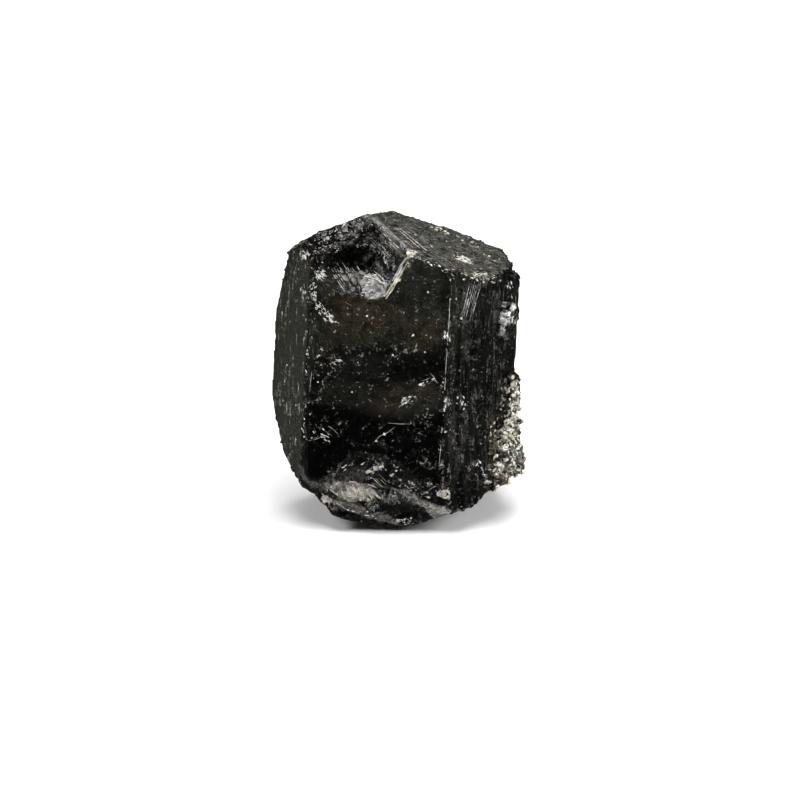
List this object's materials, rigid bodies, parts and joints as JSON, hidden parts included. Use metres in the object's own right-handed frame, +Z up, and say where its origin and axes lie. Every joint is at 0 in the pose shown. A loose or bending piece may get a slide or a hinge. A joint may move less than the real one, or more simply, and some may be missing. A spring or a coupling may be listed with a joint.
{
  "type": "tourmaline crystal",
  "caption": "Black tourmaline crystal, a striated prism with a sloping termination and a broken base, with pale mica and feldspar grown on one side.",
  "frame": {"origin": "a point on the flat patch of the broken base that the crystal stands on, under the middle of the prism", "axes": "+Z up, along the prism to within a few degrees; +X to the right of the broad front face; +Y from the front face towards the back"},
  "size_m": [0.032, 0.025, 0.0376],
  "materials": {
    "black_tourmaline": "glassy to satin, striated",
    "mica_feldspar": "grainy with shiny flakes",
    "pale_mica": "pearly flakes"
  },
  "bodies": {
    "root": {"tourmaline_crystal": "black_tourmaline", "mica_feldspar_matrix": "mica_feldspar", "mica_patch": "pale_mica"}
  },
  "joints": []
}
